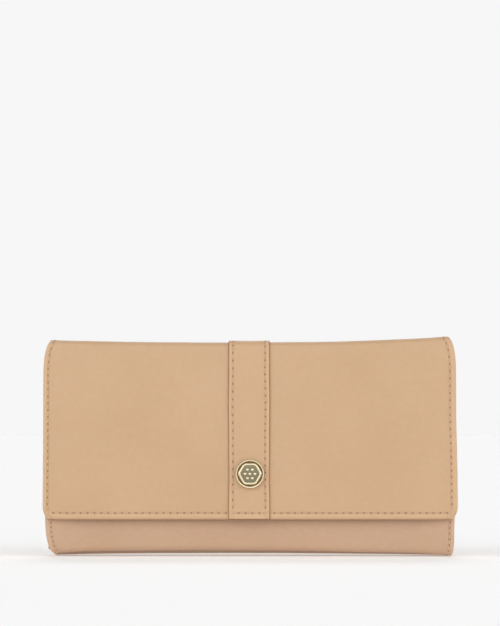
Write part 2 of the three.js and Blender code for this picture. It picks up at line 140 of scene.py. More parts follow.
def settle(x, y, z, flap=0.0):
    """Soft leather's shape: the ends stand higher than the middle, and the base lifts between corners.

    flap is 1 for what hangs from the top and 0 for what stands on the base.
    """
    out = np.clip(np.abs(x) / FULL_HALF, 0, 1.05)
    top = ease((z - 45) / 55) * (0.4 + np.where(x < 0, 1.1, 2.8) * out**2.2)
    arch = 2.8 - 1.5e-4 * (x + 20) ** 2 - 0.45 * ease((np.abs(x) - 78) / 14)
    rear = (0.75 + 0.22 * out**4) * ease((y + 4) / 18)
    base = (1 - flap) * (1 - ease(z / 30)) * np.clip(arch, 0, None) * np.clip(1 - rear, 0, 1)
    tuck = flap * 1.8 * ease((np.abs(x) - 80) / 14) * (1 - ease((z - 55) / 35))
    left, right = np.clip(-x / FULL_HALF, 0, 1) ** 3, np.clip(x / FULL_HALF, 0, 1) ** 3
    lean = left * (1.7 * np.clip(1 - z / 10, 0, 1) ** 1.6 - 0.4 * (1 - flap) * bump(z - 15, 6))
    lean = lean - 0.45 * right * ease((z - 35) / 35)
    return x + lean, y + tuck, z + top + base


def topward(z):
    """0 over most of the height, rising to 1 at the top, where the skin's sides draw in."""
    return np.clip((z - 82) / (TOP_Z - 82), 0, 1) ** 3


def flap_half(z):
    corner = np.clip(1 - (z - FLAP_BOTTOM) / 5.5, 0, 1)
    return FLAP_HALF - 0.008 * (z - FLAP_BOTTOM) - 2.85 * topward(z) - 2.2 * corner**1.6


def front_half(z):
    return BODY_HALF - 0.5 * ease((24 - z) / 12) - 0.7 * np.clip(1 - z / 8, 0, 1) ** 1.5


def back_half(z):
    return front_half(z) - (BODY_HALF - flap_half(TOP_Z)) * topward(z)


# ---- Meshes ----


def add(name, data):
    made = bpy.data.objects.new(name, data)
    bpy.context.scene.collection.objects.link(made)
    return made


def make_mesh(name, vertices, faces, materials, face_materials=None, uvs=None, smooth=True):
    """A mesh object from points in millimetres. A UV map is one pair for each face corner."""
    mesh = bpy.data.meshes.new(name)
    mesh.from_pydata((np.asarray(vertices) * MM).tolist(), [], [list(map(int, f)) for f in faces])
    for made in materials:
        mesh.materials.append(made)
    if face_materials is not None:
        mesh.polygons.foreach_set("material_index", np.asarray(face_materials, np.int32))
    for layer, values in (uvs or {}).items():
        mesh.uv_layers.new(name=layer).data.foreach_set("uv", np.asarray(values, np.float32).ravel())
    mesh.polygons.foreach_set("use_smooth", np.full(len(mesh.polygons), smooth))
    mesh.update()
    return add(name, mesh)


def ring_faces(rings, count, base=0):
    """Quads between rings of count points, numbered one ring after another from base."""
    faces = []
    for start in range(base, base + (rings - 1) * count, count):
        for j in range(count):
            k = (j + 1) % count
            faces.append([start + j, start + k, start + count + k, start + count + j])
    return faces


def tube_faces(rings, count, base, sign=1):
    """The same quads turned outwards, and both ends closed. A sign of -1 turns every face over."""
    first, last = (list(range(n, n + count)) for n in (base, base + (rings - 1) * count))
    sides = [face[::-sign] for face in ring_faces(rings, count, base)]
    return sides + [first[::sign], last[::-sign]]


def sheet_faces(rows, columns):
    """Quads for a grid of points and one beneath it: the outer face, the inner face, the two sides,
    the start and the end."""
    index = np.arange(rows * columns).reshape(rows, columns)
    deep = index + rows * columns
    grids = (
        (index[:-1, :-1], index[1:, :-1], index[1:, 1:], index[:-1, 1:]),
        (deep[:-1, :-1], deep[:-1, 1:], deep[1:, 1:], deep[1:, :-1]),
        (index[:-1, 0], deep[:-1, 0], deep[1:, 0], index[1:, 0]),
        (index[:-1, -1], index[1:, -1], deep[1:, -1], deep[:-1, -1]),
        (index[0, :-1], index[0, 1:], deep[0, 1:], deep[0, :-1]),
        (index[-1, :-1], deep[-1, :-1], deep[-1, 1:], index[-1, 1:]),
    )
    return [np.stack(corners, axis=-1).reshape(-1, 4) for corners in grids]


NO_SEAM = 9.0  # what the seam map says where there is no row near
NO_ROW = (-9.0, 1.0)
FAR = 50.0  # stands for the distance to an end that is open
GROOVE_WIDTH = 0.42
BAND_STEP = 0.35  # over which a turned edge thins to the plain sheet
NEAR_ENDS, NEAR_SIDES = 4.6, 6.0  # how far from an edge its own lines of points reach
COLUMNS = 41
PANEL_DEFAULTS = dict(
    side_rows=None, start_row=None, end_row=None,  # side_rows holds the left one and the right one
    open_start=False, open_end=False,  # an open end has no edge and meets the next panel
    origin=0.0,  # where the path starts along the hide
    flap=0.0, settles=True, waves=0.12, groove=0.16, shift=0.0,
    crease=None,  # a pressed line's distance from both ends
    paint=0.0,  # how far a painted edge comes onto the outer face; its dark dye is real edge paint and also painted shade along the edge
)


class Panel:
    """A sheet whose section is a path in Y and Z, drawn out along X, with rounded edges and sewn rows.

    Where the path runs down, the outer face looks forwards; where it runs back, it looks down.
    A sewn row is its distance from the edge and its pitch.
    """

    def __init__(self, path, half_width, thickness, **options):
        for key, value in (PANEL_DEFAULTS | options).items():
            setattr(self, key, value)
        self.path = path
        self.half_width = half_width if callable(half_width) else (lambda z: half_width + 0 * z)
        self.thickness = thickness
        self.edge = options.get("edge", thickness)
        self.radius = options.get("radius", 0.45 * self.edge)
        self.band = options.get("band", self.radius)
        self.s = travelled(path)
        self.length = self.s[-1]
        tangent = unit(np.gradient(path, self.s, axis=0))
        self.normal = np.stack([tangent[:, 1], -tangent[:, 0]], axis=1)

    def at(self, s):
        """The path's Y and Z and its outward normal's, at distances along it."""
        y, z = (np.interp(s, self.s, self.path[:, i]) for i in (0, 1))
        ny, nz = (np.interp(s, self.s, self.normal[:, i]) for i in (0, 1))
        size = np.hypot(ny, nz)
        return y, z, ny / size, nz / size

    def distances(self, x, s):
        """Distances to the nearest side edge, the start and the end."""
        z = self.at(s)[1]
        start = FAR + 0 * s if self.open_start else s + 0 * x
        end = FAR + 0 * s if self.open_end else self.length - s + 0 * x
        return self.half_width(z) - np.abs(x), start, end

    def sewn_rows(self, x, s):
        """For each sewn row: distances from its edge, its inset, stitches counted along it, and which
        points lie between its ends."""
        side, start, end = self.distances(x, s)
        first, last = (self.start_row or NO_ROW)[0], (self.end_row or NO_ROW)[0]
        within = (start > first + 1.4) & (end > last + 1.4)
        across = True
        if self.side_rows:
            inset, pitch = (np.where(x < 0, *pair) for pair in zip(*self.side_rows))
            yield side, inset, (s + self.origin) / pitch, within
            across = side > inset + 0.7
        for row, distance in ((self.start_row, start), (self.end_row, end)):
            if row:
                yield distance, row[0], x / row[1], across & (distance > -1)

    def drop(self, distance):
        """How far the outer face falls away towards an edge."""
        inside = np.clip(self.radius - distance, 0, self.radius)
        return self.radius - np.sqrt(np.clip(self.radius**2 - inside**2, 0, None))

    def relief(self, x, s):
        """The outer face's height over the path: edges, sewn rows, creases and soft waves."""
        side, start, end = self.distances(x, s)
        nearest = np.minimum(np.minimum(side, start), end)
        height = -self.drop(nearest)
        for distance, inset, _, _ in self.sewn_rows(x, s):
            height -= self.groove * bump(distance - inset, GROOVE_WIDTH)
            height += 0.6 * self.groove * bump(distance - 0.52 * inset, 0.3 * inset)
            height += 0.25 * self.groove * bump(distance - 1.6 * inset, 0.35 * inset)
        if self.crease:
            height -= 0.14 * bump(np.minimum(start, end) - self.crease, 0.28)
        return height

    def place(self, x, s, lift=0.0, relief=True):
        """Points on the outer face, raised by lift."""
        x, s = np.broadcast_arrays(np.asarray(x, float), np.asarray(s, float))
        y, z, ny, nz = self.at(s)
        height = lift + (self.relief(x, s) if relief else 0)
        height = height + self.waves * self.wave(x, s)
        if self.settles:
            x1, y1, z1 = settle(x, y, z, self.flap)
        else:
            x1, y1, z1 = x, y, z
        return np.stack([x1 + self.shift, y1 + ny * height, z1 + nz * height], axis=-1)

    def wave(self, x, s):
        """Soft unevenness, in a range of about -1 to 1."""
        flat = [
            noise.noise(Vector((a / 34, (b + self.origin) / 30, 3.1)))
            + 0.45 * noise.noise(Vector((a / 11, (b + self.origin) / 12, 8.7)))
            for a, b in zip(x.ravel(), s.ravel())
        ]
        return np.array(flat).reshape(x.shape)

    def stops(self, row, far):
        """Distances from an edge where the mesh needs a line of points."""
        r = self.radius
        marks = [0, 0.06 * r, 0.22 * r, 0.5 * r, r, self.band, self.band + BAND_STEP, self.paint]
        if row:
            marks += [row[0] + step for step in (-0.9, -0.5, -0.25, 0, 0.25, 0.5, 0.9)]
        if self.crease:
            marks += [self.crease + step for step in (-0.6, -0.3, 0, 0.3, 0.6)]
        marks = sorted(mark for mark in marks if 0 <= mark < far)
        return [a for a, b in zip(marks, marks[1:] + [far]) if b - a > 0.02] + [far]

    def rows(self):
        """Distances along the path for the mesh's rows, close together where it bends."""
        marks = [0.0]
        angle = np.unwrap(np.arctan2(self.normal[:, 1], self.normal[:, 0]))
        last = 0
        for i in range(1, len(self.s)):
            if abs(angle[i] - angle[last]) > 0.13 or self.s[i] - self.s[last] > 2.0:
                marks.append(self.s[i])
                last = i
        marks.append(self.length)
        if not self.open_start:
            near = self.stops(self.start_row, NEAR_ENDS)
            marks = near + [m for m in marks if m > near[-1] + 0.4]
        if not self.open_end:
            near = [self.length - m for m in self.stops(self.end_row, NEAR_ENDS)][::-1]
            marks = [m for m in marks if m < near[0] - 0.4] + near
        return np.array(marks)

    def build(self, name, materials, walls=0, inner=1):
        """The mesh. walls and inner are the material numbers of the edges and the inner face."""
        s = self.rows()
        side_rows = self.side_rows or (None, None)
        left, right = (np.array(self.stops(row, NEAR_SIDES)) for row in side_rows)
        half = self.half_width(self.at(s)[1])[:, None]
        between = (half - left[-1]) * np.linspace(-1, 1, COLUMNS)[None, 1:-1]
        x = np.concatenate([left - half, between, half - right[::-1]], axis=1)
        grid_s = np.repeat(s[:, None], x.shape[1], axis=1)
        side, start, end = self.distances(x, grid_s)
        nearest = np.minimum(np.minimum(side, start), end)
        outer = self.place(x, grid_s)
        folded = 1 - ease((nearest - self.band) / BAND_STEP)
        depth = folded * (self.edge - self.drop(nearest)) + (1 - folded) * self.thickness
        under = self.place(x, grid_s, -depth, relief=False)
        rows, columns = x.shape
        vertices = np.concatenate([outer.reshape(-1, 3), under.reshape(-1, 3)])
        grids = sheet_faces(rows, columns)
        faces = np.concatenate(grids)
        counts = [len(g) for g in grids]
        marks = np.repeat([0, inner, walls, walls, walls, walls], counts)
        marks[: counts[0]][nearest.ravel()[grids[0]].mean(axis=1) < self.paint] = walls
        corners = faces.ravel() % (rows * columns)
        flat_x, flat_s = x.ravel()[corners], grid_s.ravel()[corners]
        hide = np.stack([flat_x, flat_s + self.origin], axis=1) / 100
        seam = self.seam_map(faces % (rows * columns), x.ravel(), grid_s.ravel())
        seam[4 * counts[0] :] = NO_SEAM
        piece = make_mesh(name, vertices, faces, materials, marks, {"hide": hide, "seam": seam})
        self.keep_open_ends_flat(piece.data, rows, columns)
        return piece

    def keep_open_ends_flat(self, mesh, rows, columns):
        """Marks the rims of open ends as sharp, so that the light runs on into the next panel."""
        ends = np.zeros(len(mesh.edges) * 2, np.int32)
        mesh.edges.foreach_get("vertices", ends)
        row = (ends.reshape(-1, 2) % (rows * columns)) // columns
        open_ends = [0] * self.open_start + [rows - 1] * self.open_end
        sharp = np.isin(row, open_ends).all(axis=1)
        mesh.attributes.new("sharp_edge", "BOOLEAN", "EDGE").data.foreach_set("value", sharp)

    def seam_map(self, faces, x, s):
        """For each face corner: stitches counted along the nearest row, and millimetres across it."""
        found = np.full((faces.size, 2), NO_SEAM)
        best = np.full(len(faces), 1e9)
        for distance, inset, along, within in self.sewn_rows(x, s):
            off = distance - inset
            away = np.abs(off[faces]).mean(axis=1)
            nearer = (away < best) & (within[faces].mean(axis=1) > 0.5)
            best = np.where(nearer, away, best)
            values = np.stack([along[faces], off[faces]], axis=-1).reshape(-1, 2)
            found[np.repeat(nearer, 4)] = values[np.repeat(nearer, 4)]
        return found

    def side_stitches(self, low=0.0, high=None):
        """Each stitch of the rows along both sides, as a line of points and its lift."""
        high = self.length if high is None else high
        for sign, (inset, pitch) in zip((-1, 1), self.side_rows):
            first = math.ceil((low + self.origin) / pitch + 0.4)
            last = math.floor((high + self.origin) / pitch - 0.4)
            for k in range(first, last + 1):
                s = (k + STITCH_SPAN) * pitch - self.origin
                yield self.thread(sign * (self.half_width(self.at(s)[1]) - inset), s)

    def end_stitches(self, at_end=False, reach=None):
        """Each stitch of the row across the start, or across the end."""
        inset, pitch = self.end_row if at_end else self.start_row
        s = self.length - inset if at_end else inset
        half = float(self.half_width(self.at(s)[1])) - inset if reach is None else reach
        count = int(half / pitch - 0.2)
        for k in range(-count, count + 1):
            yield self.thread((k + STITCH_SPAN) * pitch, s + 0 * STITCH_SPAN)

    def thread(self, x, s):
        """The middle line of one stitch: it rises out of one needle hole and goes down into the next."""
        points = self.place(x, s, THREAD_LIFT)
        raised = self.place(x, s, THREAD_LIFT + 1.0)
        return points, raised - points


# ---- Stitches ----

THREAD_SIZES = 0.25 * np.array([0.75, 0.95, 1, 1, 1, 0.95, 0.75])  # its radius along one stitch
STITCH_SPAN = np.linspace(-0.34, 0.34, 7)
THREAD_LIFT = 0.2 - 0.34 * (np.linspace(-1, 1, 7) ** 4)
THREAD_SIDES = 6


def sew(name, bodies, bend, *rows):
    """One mesh of separate thread stitches from any number of rows, hung from its body when it has no
    bend.
    """
    vertices, faces = [], []
    around = np.radians(np.arange(THREAD_SIDES) * 360 / THREAD_SIDES)[None, :, None]
    rings = len(THREAD_SIZES)
    for points, up in (stitch for row in rows for stitch in row):
        along = unit(np.gradient(points, axis=0))
        up = unit(up - along * (up * along).sum(axis=1)[:, None])
        out = np.cos(around) * np.cross(along, up)[:, None] + np.sin(around) * up[:, None]
        faces += tube_faces(rings, THREAD_SIDES, rings * THREAD_SIDES * len(vertices))
        vertices.append((points[:, None] + out * THREAD_SIZES[:, None, None]).reshape(-1, 3))
    twist = [(i + a, j + b) for i in range(rings - 1) for j in range(THREAD_SIDES)
             for a, b in ((1, 0), (1, 1), (0, 1), (0, 0))]
    twist += [(ring, j) for ring in (0, rings - 1) for j in range(THREAD_SIDES)]
    uvs = {"twist": twist * len(vertices)}
    threads = make_mesh(name, np.concatenate(vertices), faces, [sewing_thread], uvs=uvs)
    tie(threads, bodies, bend)


# ---- Materials ----


def srgb(r, g, b):
    """A colour as the shader wants it, from 8-bit screen values."""
    def linear(value):
        value /= 255
        return value / 12.92 if value <= 0.04045 else ((value + 0.055) / 1.055) ** 2.4

    return (linear(r), linear(g), linear(b), 1)


def start_material(name, roughness, metallic=0.0, specular=0.4):
    made = bpy.data.materials.new(name)
    made.use_nodes = True
    shader = made.node_tree.nodes["Principled BSDF"]
    shader.inputs["Roughness"].default_value = roughness
    shader.inputs["Metallic"].default_value = metallic
    shader.inputs["Specular IOR Level"].default_value = specular
    return made, made.node_tree, shader


def put(tree, kind, inputs, **settings):
    """Adds a node. An input is a value or another node's output."""
    made = tree.nodes.new("ShaderNode" + kind)
    for key, value in settings.items():
        setattr(made, key, value)
    for key, value in inputs.items():
        socket = made.inputs[key]
        if isinstance(value, bpy.types.NodeSocket):
            tree.links.new(value, socket)
        else:
            socket.default_value = value
    return made


def maths(tree, operation, first, second=0.0, third=0.0):
    made = put(tree, "Math", {0: first, 1: second, 2: third}, operation=operation)
    return made.outputs[0]


def scaled(tree, value, low, high, new_low, new_high):
    inputs = {0: value, 1: low, 2: high, 3: new_low, 4: new_high}
    return put(tree, "MapRange", inputs).outputs[0]


def mix(tree, factor, first, second):
    made = tree.nodes.new("ShaderNodeMix")
    made.data_type = "RGBA"
    for socket, value in ((0, factor), (6, first), (7, second)):
        if isinstance(value, bpy.types.NodeSocket):
            tree.links.new(value, made.inputs[socket])
        else:
            made.inputs[socket].default_value = value
    return made.outputs[2]


def noise_at(tree, where, scale, detail=2.0, rough=0.5):
    inputs = {"Vector": where, "Scale": scale, "Detail": detail, "Roughness": rough}
    return put(tree, "TexNoise", inputs).outputs["Fac"]


def surface(tree, shader, colour, *layers):
    """Links the colour, and stacks bump layers, each a height, a strength and a depth in metres."""
    tree.links.new(colour, shader.inputs["Base Color"])
    below = None
    for height, strength, distance in layers:
        inputs = {"Height": height, "Strength": strength, "Distance": distance}
        if below is not None:
            inputs["Normal"] = below
        below = put(tree, "Bump", inputs).outputs[0]
    tree.links.new(below, shader.inputs["Normal"])


def needle_holes(tree):
    """1 in each needle hole of a sewn row, and 0 elsewhere."""
    seam = put(tree, "UVMap", {}, uv_map="seam").outputs[0]
    parts = put(tree, "SeparateXYZ", {0: seam}).outputs
    along = maths(tree, "SUBTRACT", maths(tree, "FRACT", parts[0]), 0.5)
    along = maths(tree, "DIVIDE", along, 0.17)
    across = maths(tree, "DIVIDE", parts[1], GROOVE_WIDTH)
    reach = maths(tree, "MULTIPLY_ADD", along, along, maths(tree, "MULTIPLY", across, across))
    return scaled(tree, reach, 1.5, 0.35, 0, 1), parts[1]


def leather(name, light, dark, grain=1.0, sewn=True, roughness=0.5):
    """Smooth, very finely grained leather, faintly mottled, with needle holes along its sewn rows, each
    dented and darkened with painted shade.
    """
    made, tree, shader = start_material(name, roughness, specular=0.35)
    hide = put(tree, "UVMap", {}, uv_map="hide").outputs[0]
    broad = scaled(tree, noise_at(tree, hide, 2.6, 3.0), 0.3, 0.7, 0, 1)
    mottle = scaled(tree, noise_at(tree, hide, 34, 3.0, 0.6), 0.3, 0.7, 0, 1)
    tone = maths(tree, "MULTIPLY_ADD", broad, 0.6, maths(tree, "MULTIPLY", mottle, 0.4))
    colour = mix(tree, tone, dark, light)
    pores = put(tree, "TexVoronoi", {"Vector": hide, "Scale": 150.0, "Randomness": 1.0}).outputs[0]
    fine = noise_at(tree, hide, 420, 2.0, 0.7)
    soft = noise_at(tree, hide, 70, 2.0)
    colour = mix(tree, scaled(tree, pores, 0.0, 0.35, 0.10, 0.0), colour, dark)
    layers = [
        (soft, 0.10 * grain, 0.0002), (pores, 0.16 * grain, 0.00008), (fine, 0.10 * grain, 0.00005),
    ]
    if sewn:
        hole, across = needle_holes(tree)
        # A painted highlight: the band between a sewn row and the edge is lightened, as if the raised
        # turned edge catches the light.
        painted_edge_highlight = scaled(tree, across, 0.4, -0.8, 0, 0.4)
        colour = mix(tree, painted_edge_highlight, colour, tuple(min(1, 1.12 * v) for v in light[:3]) + (1,))
        # Painted shade in the needle holes: each hole is darkened, over the dent that the bump below
        # makes.
        colour = mix(tree, maths(tree, "MULTIPLY", hole, 0.55), colour, srgb(126, 84, 50))
        layers.append((maths(tree, "SUBTRACT", 1.0, hole), 0.7, 0.0003))
    shine = scaled(tree, fine, 0.3, 0.7, roughness - 0.06, roughness + 0.07)
    tree.links.new(shine, shader.inputs["Roughness"])
    surface(tree, shader, colour, *layers)
    return made


def thread_material(name, light, dark):
    """Two-ply thread with a slanting twist."""
    made, tree, shader = start_material(name, 0.62, specular=0.3)
    twist = put(tree, "UVMap", {}, uv_map="twist").outputs[0]
    parts = put(tree, "SeparateXYZ", {0: twist}).outputs
    turn = maths(tree, "MULTIPLY_ADD", parts[0], 2.6, maths(tree, "MULTIPLY", parts[1], 2.1))
    wave = scaled(tree, maths(tree, "SINE", turn), -1, 1, 0, 1)
    surface(tree, shader, mix(tree, wave, dark, light), (wave, 0.5, 0.0001))
    return made


def metal(name, colour, roughness, brushed=0.0):
    """Plated metal with faint unevenness, and fine brushing along X where it has any."""
    made, tree, shader = start_material(name, roughness, metallic=1.0)
    where = put(tree, "TexCoord", {}).outputs["Object"]
    stretched = put(tree, "Mapping", {"Vector": where, "Scale": (300, 9000, 9000)}).outputs[0]
    lines = noise_at(tree, stretched if brushed else where, 1.0 if brushed else 900.0, 2.0)
    shade = tuple(0.86 * v for v in colour[:3]) + (1,)
    rough = scaled(tree, lines, 0.3, 0.7, roughness * 0.8, roughness * 1.25)
    tree.links.new(rough, shader.inputs["Roughness"])
    surface(tree, shader, mix(tree, lines, shade, colour), (lines, 0.15 + brushed, 0.00002))
    return made


def woven(name, light, dark, threads, roughness=0.85):
    """Plain weave with that many threads in 100 mm each way."""
    made, tree, shader = start_material(name, roughness, specular=0.2)
    shader.inputs["Sheen Weight"].default_value = 0.25
    shader.inputs["Sheen Roughness"].default_value = 0.5
    hide = put(tree, "UVMap", {}, uv_map="hide").outputs[0]
    parts = put(tree, "SeparateXYZ", {0: hide}).outputs
    warp, weft = (
        maths(tree, "SINE", maths(tree, "MULTIPLY", part, threads * math.pi)) for part in parts[:2]
    )
    cloth = scaled(tree, maths(tree, "MULTIPLY", warp, weft), -1, 1, 0, 1)
    uneven = noise_at(tree, hide, 60, 3.0)
    tone = maths(tree, "MULTIPLY_ADD", cloth, 0.5, maths(tree, "MULTIPLY", uneven, 0.5))
    surface(tree, shader, mix(tree, tone, dark, light), (cloth, 0.5, 0.0001), (uneven, 0.15, 0.0002))
    return made


def bare(name, light, dark, scale, roughness):
    """Plain mottled stuff, such as board or the painted edge of a strap, whose dark dye also stands in
    for painted shade along the edge.
    """
    made, tree, shader = start_material(name, roughness, specular=0.25)
    where = put(tree, "TexCoord", {}).outputs["Object"]
    speckle = noise_at(tree, where, scale, 4.0, 0.7)
    surface(tree, shader, mix(tree, speckle, dark, light), (speckle, 0.3, 0.0001))
    return made


skin_leather = leather("outer_leather", srgb(198, 164, 130), srgb(191, 157, 122))
# The front panel's leather is a darker copy of the outer leather: painted shade from the flap's
# overhang.
front_shaded_leather = leather("front_shaded_leather", srgb(191, 158, 131), srgb(183, 149, 121))
strap_leather = leather("strap_leather", srgb(199, 165, 130), srgb(193, 158, 124))
slot_leather = leather("slot_leather", srgb(206, 168, 133), srgb(196, 158, 122), 1.3)
lining_leather = leather("lining_leather", srgb(198, 162, 128), srgb(188, 150, 117), 2.0, roughness=0.7)
flesh = bare("leather_flesh_side", srgb(190, 152, 116), srgb(170, 132, 98), 900, 0.9)
# Real edge dye, made darker so that it also paints the shade along the edges of the strap and the slots.
edge_dye_and_shade = bare("painted_edge_and_shade", srgb(172, 130, 94), srgb(150, 110, 78), 700, 0.5)
board_stuff = bare("bonded_board", srgb(150, 120, 92), srgb(110, 86, 64), 1500, 0.9)
sewing_thread = thread_material("sewing_thread", srgb(220, 187, 153), srgb(194, 159, 125))
cloth = woven("pocket_cloth", srgb(196, 164, 130), srgb(160, 128, 96), 330)
tape_cloth = woven("zip_tape", srgb(190, 152, 118), srgb(158, 122, 90), 260)
gold = metal("pale_gold", srgb(238, 224, 190), 0.18)
plaque_metal = metal("satin_plaque", srgb(140, 133, 110), 0.36, brushed=0.5)
dark_metal = metal("aged_recess", srgb(128, 101, 64), 0.4)
steel = metal("satin_nickel", srgb(205, 202, 192), 0.3)


# ---- The outer skin ----


def sheet_on(panel, name, materials, bodies, bend=None, nodes=(), walls=0, inner=1):
    """Builds a panel and ties it to one body; with a bend, it is only baked where it stands."""
    piece = panel.build(name, materials, walls, inner)
    return tie(piece, bodies, bend, nodes)


def tie(piece, bodies, bend=None, nodes=()):
    """Hides the CAD nodes a piece stands for and hangs the piece from its body's empty; with a bend, the
    piece is only baked where it stands, and the bodies and the bend are not used.
    """
    if nodes:
        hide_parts(*nodes)
    if bend is None:
        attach(piece, bodies)
    else:
        start, end = ([0, y * MM, z * MM] for y, z in bend)
        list(bodies)
        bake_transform(piece)
        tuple(start)
        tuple(end)
    return piece


BASE_BEND = ((FRONT_Y + BASE_RADIUS, 0), (FRONT_Y, BASE_RADIUS + 1.5))
TOP_BEND = TOP_RADIUS + 0.7  # a little more than the fold, so that the bend starts on the flat
BACK_BEND = ((BACK_Y, TOP_Z - TOP_BEND), (BACK_Y - TOP_BEND, TOP_Z))
FLAP_BEND = ((FLAP_Y + TOP_BEND, TOP_Z), (FLAP_Y, TOP_Z - TOP_BEND))

# The sewn rows, as the photo shows them: each side has its own distance from the edge and its own pitch.
FLAP_SIDE_ROWS = ((2.3, 3.11), (2.9, 3.14))
FLAP_END_ROW = (3.0, 3.24)
FRONT_SIDE_ROWS = ((2.7, 2.35), (2.3, 2.76))
STRAP_SIDE_ROWS = ((2.05, 3.6), (2.15, 3.26))
FRONT_ROLL = 3.0  # the front lower corner is pressed a little sharper than the rear one
TURNED_EDGE = dict(edge=PANEL, radius=1.25, band=1.9)


def flap_path(outset=0.0, start=MIDDLE_SPINE_Y):
    y, z = FLAP_Y - outset, TOP_Z + outset
    return folded([(start, z), (y, z), (y, FLAP_BOTTOM)], [TOP_RADIUS + outset], 24)


def make_skin():
    """The outer leather: three panels that meet without a step under the base and along the spine."""
    front_path = folded([(FRONT_Y, FRONT_TOP), (FRONT_Y, 0), (MIDDLE_BASE_Y, 0)], [FRONT_ROLL])
    front = Panel(front_path, front_half, LEATHER, side_rows=FRONT_SIDE_ROWS, start_row=(3.0, 3.0),
                  open_end=True, **TURNED_EDGE)
    back_path = folded([(MIDDLE_BASE_Y, 0), (BACK_Y, 0), (BACK_Y, TOP_Z), (MIDDLE_SPINE_Y, TOP_Z)],
                       [BASE_RADIUS, TOP_RADIUS])
    back = Panel(back_path, back_half, LEATHER, side_rows=FLAP_SIDE_ROWS, open_start=True,
                 open_end=True, origin=front.length, **TURNED_EDGE)
    flap = Panel(flap_path(), flap_half, LEATHER, side_rows=FLAP_SIDE_ROWS, end_row=FLAP_END_ROW,
                 open_start=True, origin=front.length + back.length, flap=1.0, **TURNED_EDGE)
    stuff = [skin_leather, flesh]
    sheet_on(front, "front_skin", [front_shaded_leather, flesh], ("back", "front"), BASE_BEND,
             ["front_panel_leather", "bottom_front_fold"])
    sheet_on(back, "back_skin", stuff, ("back", "spine"), BACK_BEND,
             ["base_leather", "back_panel_leather", "top_back_fold", "spine_leather"])
    sheet_on(flap, "flap_skin", stuff, ("spine", "flap"), FLAP_BEND,
             ["flap_leather", "top_front_fold"])
    sew("front_stitches", ("back", "front"), BASE_BEND, front.side_stitches(4.0), front.end_stitches())
    sew("back_stitches", ("back", "spine"), BACK_BEND, back.side_stitches())
    sew("flap_side_stitches", ("spine", "flap"), FLAP_BEND, flap.side_stitches(high=flap.length - 3.4))
    return flap


def strap_half(z):
    """The strap's edges waver slightly, as hand-cut leather does."""
    return STRAP_HALF + 0.09 * np.sin(z / 9.0) + 0.05 * np.sin(z / 3.7 + 1.0)


def make_strap(flap):
    """The strap over the front fold, and the row along the flap's lower edge that crosses it."""
    path = flap_path(STRAP + 0.02, STRAP_END_Y)
    strap = Panel(path, strap_half, STRAP, side_rows=STRAP_SIDE_ROWS, start_row=(1.75, 2.9),
                  end_row=FLAP_END_ROW, radius=0.5, edge=STRAP, paint=0.42, shift=-0.4,
                  origin=40.0, flap=1.0)
    sheet_on(strap, "strap", [strap_leather, flesh, edge_dye_and_shade], ("spine", "flap"),
             FLAP_BEND, ["strap_top", "strap_fold", "strap_front"], walls=2)
    sew("strap_stitches", ("spine", "flap"), FLAP_BEND,
        strap.side_stitches(low=1.0, high=strap.length - 3.6),
        strap.end_stitches(reach=STRAP_HALF - 2.4))
    lower = []
    for points, _ in flap.end_stitches(at_end=True):
        middle = points[len(points) // 2][X]
        sheet = strap if abs(middle) < STRAP_HALF - 0.6 else flap
        lower.append(sheet.thread(points[:, X], sheet.length - FLAP_END_ROW[0]))
    sew("flap_lower_stitches", "flap", None, lower)


# ---- Linings, boards and card slots ----

LINING = 0.5
LINING_INSET = 1.6
LINING_BOTTOM = 5.5
INNER_RADIUS = 1.5


def make_linings():
    rows = tuple((inset - LINING_INSET, pitch) for inset, pitch in FLAP_SIDE_ROWS)
    thin = dict(radius=0.2, waves=0.1, groove=0.1, side_rows=rows)
    stuff = [lining_leather, flesh]
    front = Panel(line((FRONT_INNER_Y, LINING_BOTTOM), (FRONT_INNER_Y, FRONT_TOP - 1.2)),
                  lambda z: front_half(z) - LINING_INSET, LINING, end_row=(1.8, 3.0), **thin)
    sheet_on(front, "front_lining_sheet", stuff, "front", None, ["front_lining"])
    top = (MIDDLE_SPINE_Y, TOP_INNER_Z)
    bottom = (BACK_INNER_Y, LINING_BOTTOM)
    back = Panel(folded([top, (BACK_INNER_Y, TOP_INNER_Z), bottom], [INNER_RADIUS]),
                 lambda z: back_half(z) - LINING_INSET, LINING, open_start=True, **thin)
    below = TOP_INNER_Z - INNER_RADIUS - 1.0
    bend = ((BACK_INNER_Y, below), (BACK_INNER_Y - 2.4, TOP_INNER_Z))
    sheet_on(back, "back_lining_sheet", stuff, ("back", "spine"), bend,
             ["back_lining", "spine_lining"])
    bottom = (FLAP_INNER_Y, FLAP_BOTTOM + LINING_INSET)
    flap = Panel(folded([bottom, (FLAP_INNER_Y, TOP_INNER_Z), top], [INNER_RADIUS]),
                 lambda z: flap_half(z) - LINING_INSET, LINING, open_end=True, flap=1.0,
                 start_row=(FLAP_END_ROW[0] - LINING_INSET, FLAP_END_ROW[1]), **thin)
    bend = ((FLAP_INNER_Y + 2.4, TOP_INNER_Z), (FLAP_INNER_Y, below))
    sheet_on(flap, "flap_lining_sheet", stuff, ("spine", "flap"), bend, ["flap_lining"])
    sew("flap_lining_stitches", ("spine", "flap"), bend, flap.side_stitches(low=2.0),
        flap.end_stitches())


def make_boards():
    low, high = box("flap_board")
    flap = Panel(line((low[Y], high[Z]), (low[Y], low[Z])), high[X], high[Y] - low[Y], flap=1.0)
    sheet_on(flap, "flap_board_sheet", [board_stuff], "flap", None, ["flap_board"], inner=0)
    low, high = box("base_board")
    base = Panel(line((low[Y], low[Z]), (high[Y], low[Z])), high[X] - 1.5, high[Z] - low[Z])
    sheet_on(base, "base_board_sheet", [board_stuff], "back", None, ["base_board"], inner=0)


SLOT_STEP = 8.0  # how much of each strip shows over the next
SLOT_PITCH = 2.9


